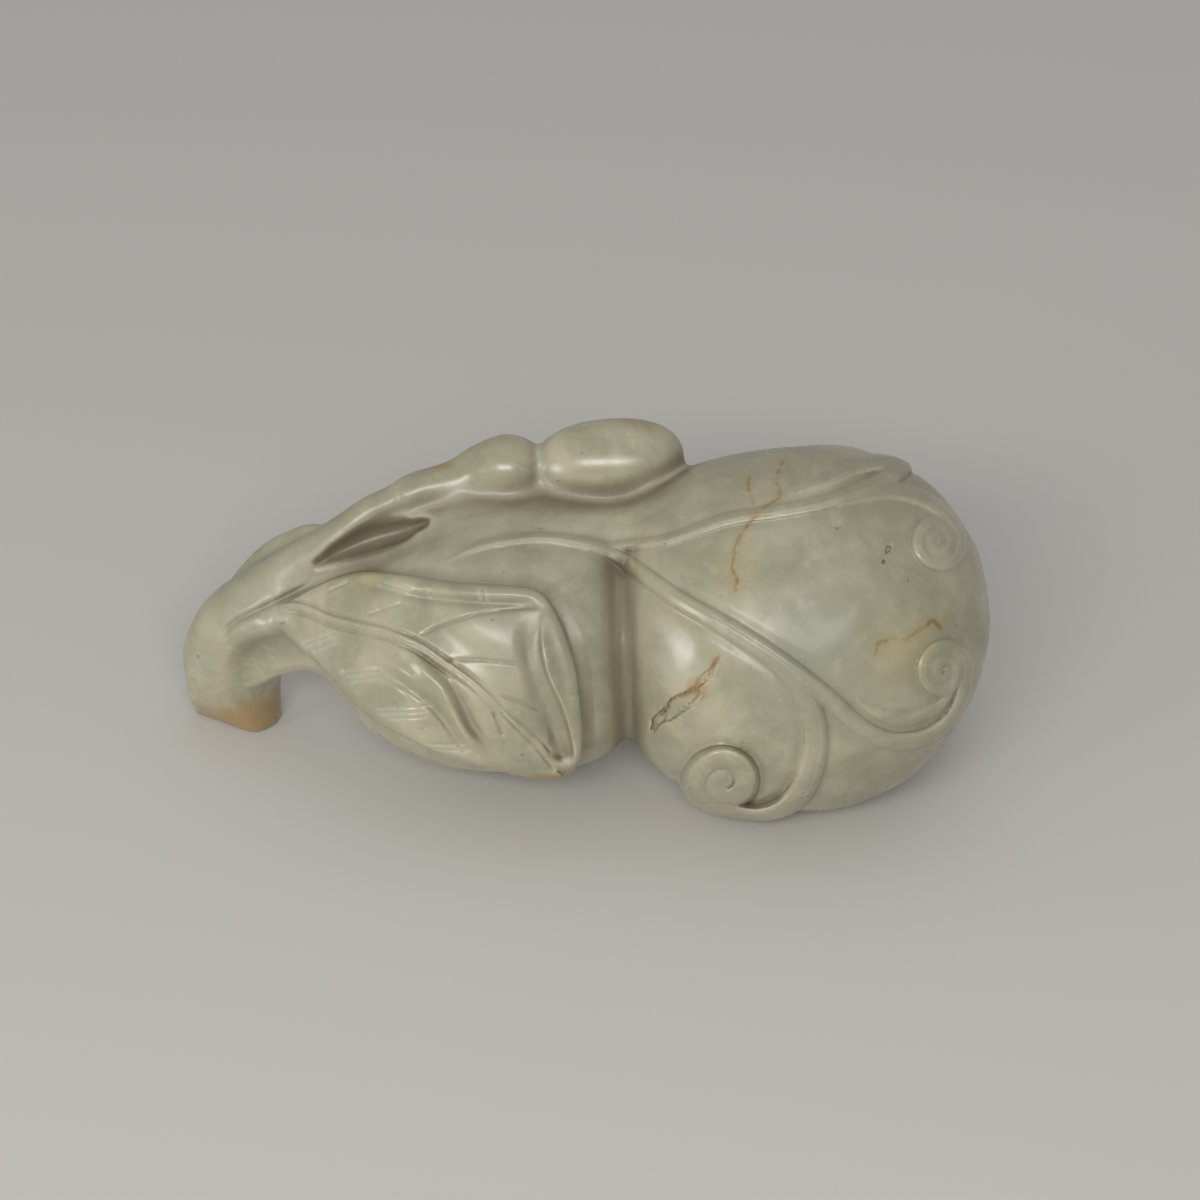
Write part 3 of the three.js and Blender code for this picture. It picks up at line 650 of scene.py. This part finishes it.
def stone(points):
    """Distance to the whole stone, cut off at the floor with a rounded edge."""
    body = raise_tendrils(bare_stone(points), points)
    body = pitted(body, points)
    above_floor = points @ TURN[2] + AXIS_HEIGHT
    body = broken_foot(body, points, above_floor)
    return common(body, -above_floor, RESTING_EDGE)


def shared_out(field, points):
    """Works a field out over many points in four threads."""
    parts = np.array_split(points, max(1, len(points) // 40000))
    with ThreadPoolExecutor(4) as pool:
        return np.concatenate(list(pool.map(field, parts)))


def stone_grid(low, high, fine):
    """Distances on a grid with fine steps to the millimetre. Only millimetre cubes near the surface, with
    a corner less than about their diagonal away from it, are worked out in full; the rest keep the value
    at their corner, whose sign is all that counts there."""
    count = np.array(high) - np.array(low)
    corners = [np.arange(n + 1) + start for n, start in zip(count, low)]
    coarse = np.stack(np.meshgrid(*corners, indexing="ij"), 3).astype(float)
    values = shared_out(stone, coarse.reshape(-1, 3)).reshape(coarse.shape[:3])
    cells = np.abs(values[:-1, :-1, :-1])
    for dx, dy, dz in np.ndindex(2, 2, 2):
        cells = np.minimum(cells, np.abs(values[dx:dx + count[0], dy:dy + count[1], dz:dz + count[2]]))
    grid = values[:-1, :-1, :-1].astype(np.float32)
    for axis in range(3):
        grid = grid.repeat(fine, axis)
    i, j, k = np.nonzero(cells < NEAR_SURFACE)
    inner = np.stack(np.meshgrid(*[np.arange(fine)] * 3, indexing="ij"), 3).reshape(-1, 3)
    number = (np.stack([i, j, k], 1)[:, None] * fine + inner).reshape(-1, 3)
    grid[tuple(number.T)] = shared_out(stone, number / fine + np.array(low, float))
    return grid


def cube_mesh(grid, low, fine):
    """One vertex in each cube whose corners differ in sign, at the mean of the places where its edges
    cross the surface, and one four-sided face round each grid edge that crosses."""
    inside = grid < 0
    count = sum(inside[dx:dx - 1 or None, dy:dy - 1 or None, dz:dz - 1 or None].astype(np.uint8)
                for dx, dy, dz in np.ndindex(2, 2, 2))
    i, j, k = np.nonzero((count > 0) & (count < 8))
    number = np.full(count.shape, -1, np.int32)
    number[i, j, k] = np.arange(len(i))
    total, crossings = np.zeros((len(i), 3)), np.zeros(len(i))
    for axis in range(3):
        for da, db in np.ndindex(2, 2):
            start = np.zeros(3, int)
            start[(axis + 1) % 3], start[(axis + 2) % 3] = da, db
            end = start.copy()
            end[axis] = 1
            a = grid[i + start[0], j + start[1], k + start[2]]
            b = grid[i + end[0], j + end[1], k + end[2]]
            crosses = (a < 0) != (b < 0)
            share = np.where(crosses, a / np.where(crosses, a - b, 1), 0)
            total += crosses[:, None] * (start + share[:, None] * (end - start))
            crossings += crosses
    points = (np.stack([i, j, k], 1) + total / crossings[:, None]) / fine + np.array(low)
    faces = []
    for axis in range(3):
        one, two = (axis + 1) % 3, (axis + 2) % 3
        first = np.moveaxis(inside, (axis, one, two), (0, 1, 2))
        ids = np.moveaxis(number, (axis, one, two), (0, 1, 2))
        a, b, c = np.nonzero(first[:-1, 1:-1, 1:-1] != first[1:, 1:-1, 1:-1])
        ring = np.stack([ids[a, b, c], ids[a, b + 1, c], ids[a, b + 1, c + 1], ids[a, b, c + 1]], 1)
        outwards = first[a, b + 1, c + 1]
        faces.append(np.where(outwards[:, None], ring, ring[:, ::-1]))
    return points, np.concatenate(faces)


def settled(points):
    """Moves points onto the surface: back along the slope, by distance over slope, but never far."""
    slope = shared_out(lambda part: slopes(stone, part), points)
    distance = shared_out(stone, points)
    move = distance[:, None] * slope / np.maximum((slope ** 2).sum(1, keepdims=True), 0.05)
    return points - np.clip(move, -MOST_MOVE, MOST_MOVE)


points, faces = cube_mesh(stone_grid(GRID_LOW, GRID_HIGH, FINE), GRID_LOW, FINE)
points = settled(points)

mesh = bpy.data.meshes.new("jade_carving")
mesh.from_pydata(points, [], faces.tolist())
carving = bpy.data.objects.new("jade_carving", mesh)
bpy.context.scene.collection.objects.link(carving)
if 2 * len(faces) > MOST_TRIANGLES:
    thinning = carving.modifiers.new("thinning", "DECIMATE")
    thinning.ratio = MOST_TRIANGLES / (2 * len(faces))
    thinned = bpy.data.meshes.new_from_object(carving.evaluated_get(bpy.context.evaluated_depsgraph_get()))
    carving.modifiers.clear()
    carving.data = thinned
    bpy.data.meshes.remove(mesh)
    mesh = thinned
    mesh.name = "jade_carving"

places = np.empty(len(mesh.vertices) * 3)
mesh.vertices.foreach_get("co", places)
places = settled(places.reshape(-1, 3))
facing = unit(shared_out(lambda part: slopes(stone, part), places))


# Stains and shades are kept on the mesh as values at its vertices: how strongly russet, yellow or green runs
# through the stone, the green partly painted shade, how far off a crack is, how pale the hatching is, how
# far a place is shut in, in a cut or under an overhang, for the painted shade there, and how sharp an edge
# is, for a painted highlight. The cracks are lines in the plane and show on the front.
CRACKS = [[[21.3, 18.8], [20.4, 17.2], [20.1, 16.4], [20.5, 15.2], [20.2, 14.3], [18.8, 13.6], [17.6, 12.7],
           [16.3, 11.2], [15.5, 10], [14.9, 8.6], [14.6, 7.2], [15.1, 5.8], [14.8, 4.6]],
          [[12.6, -2.2], [11.6, -4.2], [10.3, -5.8], [9.2, -6.2], [7.4, -6.9], [6.2, -8.2], [5.6, -9.5]],
          [[29.4, -3.4], [29.8, -1.9], [31.3, -1.4], [33, -1.6], [34.6, -0.6], [36.2, 0.3], [37, -0.7]],
          [[17.2, 17], [17.1, 15.6], [17.5, 13.9]]]
# stains: each row is a place in the plane, its depth in y, its reach and its strength
RUSSET = [[17.2, 12.2, -15, 1.2, 0.9], [10.2, -5.6, -17, 1.6, 1.2], [12, -3.6, -18, 1.5, 0.5],
          [-4.6, -14.8, -6, 2, 0.9], [-7.6, -15.8, -6, 2.2, 1], [-11, -15.2, -6.5, 2.1, 0.9],
          [-15, -14, -7, 2, 0.6], [-41.5, -8, 17, 5.8, 1.1], [-40, -9, 21, 6, 1.2], [-25, 12.4, 2, 3, 0.5],
          [2, 25.2, 0.4, 3.6, 0.7], [6.5, 24, -1, 2.6, 0.7], [-16.6, 20.6, 0, 2.2, 0.8],
          [-27, 15.8, 0, 1.1, 0.8], [12.8, -20.6, -8, 2.4, 0.7], [38, 13, -2, 2.4, 0.5], [44, 0, 0, 3, 0.4]]
YELLOW = [[32, -2.8, -17, 3.2, 0.8], [34.5, -1.4, -16, 2, 0.5], [-25.6, 9.2, -7, 2.2, 1.2],
          [15.4, 6.6, -18, 2.6, 0.5]]
# the green spots are partly greener jade and partly painted shade, on the upward faces of the vine and the
# back leaf and on the front of the large bulb
GREEN_AND_SHADE = [[-8, 1, -14, 5, 0.6], [24, 0, -20, 8, 1], [20, -5, -20, 5, 0.5], [-30, 14.5, 1, 4.5, 0.7],
         [-21, 18, 0, 4, 0.5], [-37, 10, 4, 5, 0.6], [-40, 9, 10, 6, 0.8], [-14, 10, -10, 6, 0.35],
         [8, 8, -16, 5, 0.4]]
# painted shade, deepest in the slot and under the arch
DEEP_SHADE = [[-25, 12.6, -1, 4.5, 1], [-36.5, -1.5, 3, 5, 0.6]]
# where the shade values look for open air, in millimetres out from the skin, and how far in for a sharp
# edge, which gets a painted highlight
LOOK_OUT = (0.5, 1.5, 4)
LOOK_IN = 0.6
MOST_KEPT = 50
PALE_REACH = 0.16
# painted shade in the waist between the bulbs, with the real polishing rings there
WAIST = dict(x=2.9, reach=2.4, top=10.5)
# a painted shadow under the baby gourd
UNDER_BABY = dict(z=15.8, reach=1.6, middle=-4, half=17, strength=0.4)


def spots(points, rows):
    """Sum of round bells about places in the stone, each times its strength."""
    return sum(strength * bump(np.linalg.norm(points - np.array([x, depth, z]), axis=1), reach)
               for x, z, depth, reach, strength in rows)


def to_lines(points, lines):
    """Distance in the plane to the nearest of some lines of straight stretches."""
    flat = points[:, [0, 2]]
    return np.min([nearest(flat, np.array(rows, float))[0] for rows in lines], axis=0)


def keep(name, values):
    """Keeps one value for each vertex on the mesh, where the material reads it by its name."""
    layer = mesh.attributes.new(name, "FLOAT", "POINT")
    layer.data.foreach_set("value", np.clip(values, 0, MOST_KEPT).astype(np.float32))


keep("scratch", bump(to_lines(places, HATCHING), PALE_REACH) * (facing[:, 1] < 0))
keep("crack", np.where(facing[:, 1] < 0.2, to_lines(places, CRACKS), MOST_KEPT))
keep("russet", spots(places, RUSSET))
keep("yellow", spots(places, YELLOW))
# greener jade, partly painted shade
keep("green", spots(places, GREEN_AND_SHADE))
x, _, z = places.T
near_air, mid_air, far_air = (shared_out(stone, places + reach * facing) / reach for reach in LOOK_OUT)
# painted shade in the cuts: darker where the skin is shut in close round
keep("hollow", 1 - 0.5 * near_air - 0.5 * mid_air)
under_baby = UNDER_BABY["strength"] * bump(z - UNDER_BABY["z"], UNDER_BABY["reach"])
under_baby *= ramp(UNDER_BABY["half"] - np.abs(x - UNDER_BABY["middle"]), 0, 6)
# painted shade where the stone is shut in or overhung, deepest in the slot and under the arch, with a
# painted shadow under the baby gourd
recess_shade = 2.5 * spots(places, DEEP_SHADE) * np.maximum(0.9 - mid_air, 0)
keep("painted_shade", 1 - far_air + recess_shade + under_baby)
# painted shade in the waist
keep("waist", bump(x - WAIST["x"], WAIST["reach"]) * ramp(WAIST["top"] - z, 0, 3))
# a painted highlight: larger on sharp, thin edges, where the stone ends close inside the skin
keep("edge", 1 - shared_out(stone, places - LOOK_IN * facing) / -LOOK_IN)

# The stone is set down on the table, with the middle of its plan at the origin, and shown for the solid.
PLAN_SHIFT = np.array([2.033, -0.542, 0])
world = (resting(places) + PLAN_SHIFT) / 1000
mesh.vertices.foreach_set("co", world.ravel())
mesh.polygons.foreach_set("use_smooth", np.ones(len(mesh.polygons), bool))
mesh.normals_split_custom_set_from_vertices(facing @ TURN.T)
mesh.update()
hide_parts("gourd_carving")
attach(carving, "root")


# The jade: pale grey green nephrite with a waxy polish. Milky clouds and faint specks lie under the skin,
# and iron has stained the cracks, the foot and the thin edges russet. Painted shade darkens the cuts, the
# waist, the places shut in or overhung and some of the greener patches, and a painted highlight pales the
# sharp edges.
# of these shades, the pale edge one is a painted highlight, the shelter, waist and cut ones are painted
# shade, and the green one is partly painted shade
PALE_STONE, MILKY_STONE, GREY_STREAK = (0.31, 0.295, 0.2), (0.43, 0.4, 0.285), (0.265, 0.265, 0.182)
GREEN_STONE_AND_SHADE, YELLOW_STONE, RUSSET_STONE = (0.245, 0.252, 0.18), (0.46, 0.39, 0.19), (0.33, 0.2, 0.075)
MILKY_CLOUD, WHITE_FLECK, EDGE_PAINTED_HIGHLIGHT = (0.54, 0.51, 0.41), (0.6, 0.57, 0.46), (0.62, 0.59, 0.48)
FRESH_CUT, CRACK_HALO, CRACK_CORE = (0.66, 0.63, 0.54), (0.37, 0.27, 0.12), (0.225, 0.13, 0.045)
SHELTER_PAINTED_SHADE, WAIST_PAINTED_SHADE, WAIST_RING = (0.15, 0.118, 0.068), (0.22, 0.19, 0.12), (0.17, 0.14, 0.085)
CUT_PAINTED_SHADE, DARK_SPECK = (0.14, 0.115, 0.07), (0.08, 0.07, 0.045)

jade = bpy.data.materials.new("jade")
jade.use_nodes = True
nodes, links = jade.node_tree.nodes, jade.node_tree.links
skin = nodes["Principled BSDF"]
where = nodes.new("ShaderNodeTexCoord")


def attribute(name):
    """One of the values that the mesh keeps."""
    node = nodes.new("ShaderNodeAttribute")
    node.attribute_name = name
    return node.outputs["Fac"]


def noise(scale, detail, rough, distortion=0.0, squeeze=(1, 1, 1)):
    """Clouds through the stone, so many to the metre, drawn out along an axis where squeeze is small."""
    node = nodes.new("ShaderNodeTexNoise")
    squeezed = nodes.new("ShaderNodeMapping")
    squeezed.inputs["Scale"].default_value = squeeze
    node.inputs["Scale"].default_value = scale
    node.inputs["Detail"].default_value = detail
    node.inputs["Roughness"].default_value = rough
    node.inputs["Distortion"].default_value = distortion
    links.new(where.outputs["Object"], squeezed.inputs["Vector"])
    links.new(squeezed.outputs["Vector"], node.inputs["Vector"])
    return node.outputs["Fac"]


def math_node(kind, a, b):
    """A sum, difference or product of a value and another value or number."""
    node = nodes.new("ShaderNodeMath")
    node.operation = kind
    links.new(a, node.inputs[0])
    if isinstance(b, float):
        node.inputs[1].default_value = b
    else:
        links.new(b, node.inputs[1])
    return node.outputs[0]


def stretch(value, low, high, to_low=0.0, to_high=1.0):
    """A smooth step from to_low to to_high while the value goes from low to high."""
    node = nodes.new("ShaderNodeMapRange")
    node.interpolation_type = "SMOOTHSTEP"
    links.new(value, node.inputs["Value"])
    for name, number in (("From Min", low), ("From Max", high), ("To Min", to_low), ("To Max", to_high)):
        node.inputs[name].default_value = number
    return node.outputs["Result"]


def tint(base, shade, mask, strength=1.0):
    """The base mixed with a shade, as much of it as the mask times the strength."""
    node = nodes.new("ShaderNodeMix")
    node.data_type = "RGBA"
    if isinstance(base, tuple):
        node.inputs["A"].default_value = (*base, 1)
    else:
        links.new(base, node.inputs["A"])
    node.inputs["B"].default_value = (*shade, 1)
    links.new(math_node("MULTIPLY", mask, strength), node.inputs["Factor"])
    return node.outputs["Result"]


clouds = noise(110, 5, 0.6, 0.6)
fine_clouds = noise(420, 4, 0.6)
flecks = noise(1300, 5, 0.7, 0.4)
grain = noise(2600, 3, 0.6)
streaks = noise(60, 6, 0.7, 2.0)
colour = tint(PALE_STONE, MILKY_STONE, stretch(clouds, 0.36, 0.66))
colour = tint(colour, GREY_STREAK, stretch(streaks, 0.48, 0.68), 0.5)
# greener jade, partly painted shade on upward faces and the large bulb's front
colour = tint(colour, GREEN_STONE_AND_SHADE, attribute("green"), 0.75)
colour = tint(colour, MILKY_CLOUD, stretch(fine_clouds, 0.5, 0.8), 0.3)
colour = tint(colour, WHITE_FLECK, stretch(flecks, 0.6, 0.75), 0.35)
# painted highlight on the sharp edges
colour = tint(colour, EDGE_PAINTED_HIGHLIGHT, stretch(attribute("edge"), 0.1, 0.45), 0.28)
colour = tint(colour, YELLOW_STONE, attribute("yellow"), 0.55)
colour = tint(colour, FRESH_CUT, attribute("scratch"), 0.3)
ragged = math_node("MULTIPLY", math_node("SUBTRACT", streaks, 0.5), 2.2)
russet = stretch(math_node("ADD", attribute("russet"), ragged), 0.3, 1.1)
colour = tint(colour, RUSSET_STONE, russet, 0.75)
wander = math_node("MULTIPLY", math_node("SUBTRACT", fine_clouds, 0.5), 0.7)
off_crack = math_node("ADD", attribute("crack"), wander)
broken = stretch(noise(330, 3, 0.6), 0.38, 0.62, 0.5, 1.0)
halo = math_node("MULTIPLY", stretch(off_crack, 1.0, 0.05), broken)
core = math_node("MULTIPLY", stretch(off_crack, 0.3, 0.06), broken)
colour = tint(colour, CRACK_HALO, halo, 0.45)
colour = tint(colour, CRACK_CORE, core, 0.8)
# painted shade where the stone is shut in or overhung, and the painted shadow under the baby gourd
colour = tint(colour, SHELTER_PAINTED_SHADE, stretch(attribute("painted_shade"), 0.08, 1.0), 0.8)
rings = stretch(noise(700, 3, 0.6, squeeze=(1, 0.03, 0.03)), 0.42, 0.62)
# painted shade in the waist; the rings are real polishing marks
colour = tint(colour, WAIST_PAINTED_SHADE, attribute("waist"), 0.4)
colour = tint(colour, WAIST_RING, math_node("MULTIPLY", rings, attribute("waist")), 0.5)
# painted shade in the cuts
colour = tint(colour, CUT_PAINTED_SHADE, stretch(attribute("hollow"), 0.25, 1.0), 0.45)
colour = tint(colour, DARK_SPECK, stretch(noise(900, 2, 0.5), 0.74, 0.78), 0.6)
links.new(colour, skin.inputs["Base Color"])

# rougher where the painted shade mask and the waist mask lie
shade_and_waist = math_node("ADD", attribute("painted_shade"), attribute("waist"))
polish = stretch(noise(300, 4, 0.6), 0.3, 0.7, 0.25, 0.38)
rough = math_node("ADD", polish, math_node("MULTIPLY", shade_and_waist, 0.3))
rough = math_node("ADD", rough, math_node("MULTIPLY", attribute("green"), 0.22))
links.new(rough, skin.inputs["Roughness"])
skin.inputs["IOR"].default_value = 1.6
skin.inputs["Coat Weight"].default_value = 0.22
skin.inputs["Coat Roughness"].default_value = 0.2
skin.inputs["Subsurface Weight"].default_value = 0.35
skin.inputs["Subsurface Radius"].default_value = (1.0, 0.9, 0.6)
skin.inputs["Subsurface Scale"].default_value = 0.0025
relief = nodes.new("ShaderNodeBump")
relief.inputs["Strength"].default_value = 0.18
relief.inputs["Distance"].default_value = 0.00008
links.new(math_node("ADD", math_node("MULTIPLY", grain, 0.5), fine_clouds), relief.inputs["Height"])
links.new(relief.outputs["Normal"], skin.inputs["Normal"])
mesh.materials.append(jade)

# The table that the carving rests on, the soft lights of a studio, and the camera of the photograph.
TABLE_HALF = 1.5
corners = [(x * TABLE_HALF, y * TABLE_HALF, 0) for x, y in ((-1, -1), (1, -1), (1, 1), (-1, 1))]
floor_mesh = bpy.data.meshes.new("table")
floor_mesh.from_pydata(corners, [], [(0, 1, 2, 3)])
table = bpy.data.objects.new("table", floor_mesh)
bpy.context.scene.collection.objects.link(table)
paper = bpy.data.materials.new("pale paper")
paper.use_nodes = True
face = paper.node_tree.nodes["Principled BSDF"]
face.inputs["Base Color"].default_value = (0.62, 0.61, 0.59, 1)
face.inputs["Roughness"].default_value = 0.7
floor_mesh.materials.append(paper)

sky = bpy.data.worlds.new("studio")
sky.use_nodes = True
glow = sky.node_tree.nodes["Background"]
glow.inputs["Color"].default_value = (1, 0.985, 0.95, 1)
glow.inputs["Strength"].default_value = 0.37
bpy.context.scene.world = sky


def soft_light(name, place, aim, size, power, colour):
    """A lamp with a wide face, turned to the place that it is aimed at."""
    light = bpy.data.lights.new(name, "AREA")
    light.shape = "RECTANGLE"
    light.size, light.size_y = size
    light.energy = power
    light.color = colour
    lamp = bpy.data.objects.new(name, light)
    lamp.location = place
    lamp.rotation_euler = (Vector(aim) - Vector(place)).to_track_quat("-Z", "Y").to_euler()
    bpy.context.scene.collection.objects.link(lamp)


soft_light("front light", place=(-0.06, -0.5, 0.36), aim=(0, 0, 0.02), size=(0.42, 0.12), power=1.9,
           colour=(1, 0.985, 0.95))
soft_light("left light", place=(-0.5, -0.3, 0.08), aim=(0, 0, 0.01), size=(0.2, 0.14), power=0.9,
           colour=(1, 0.99, 0.97))
soft_light("top light", place=(0.1, 0.1, 0.7), aim=(0, 0, 0.02), size=(0.6, 0.6), power=0.35,
           colour=(1, 1, 1))

ELEVATION = math.radians(33)
DISTANCE = 0.5032
aim = Vector((2.03, 1.89, 21.53)) / 1000
camera = bpy.data.objects.new("camera", bpy.data.cameras.new("camera"))
camera.data.lens = 135
camera.data.sensor_width = 36
camera.location = aim + DISTANCE * Vector((0, -math.cos(ELEVATION), math.sin(ELEVATION)))
camera.rotation_euler = (aim - camera.location).to_track_quat("-Z", "Y").to_euler()
bpy.context.scene.collection.objects.link(camera)
bpy.context.scene.camera = camera
bpy.context.scene.view_settings.view_transform = "Standard"
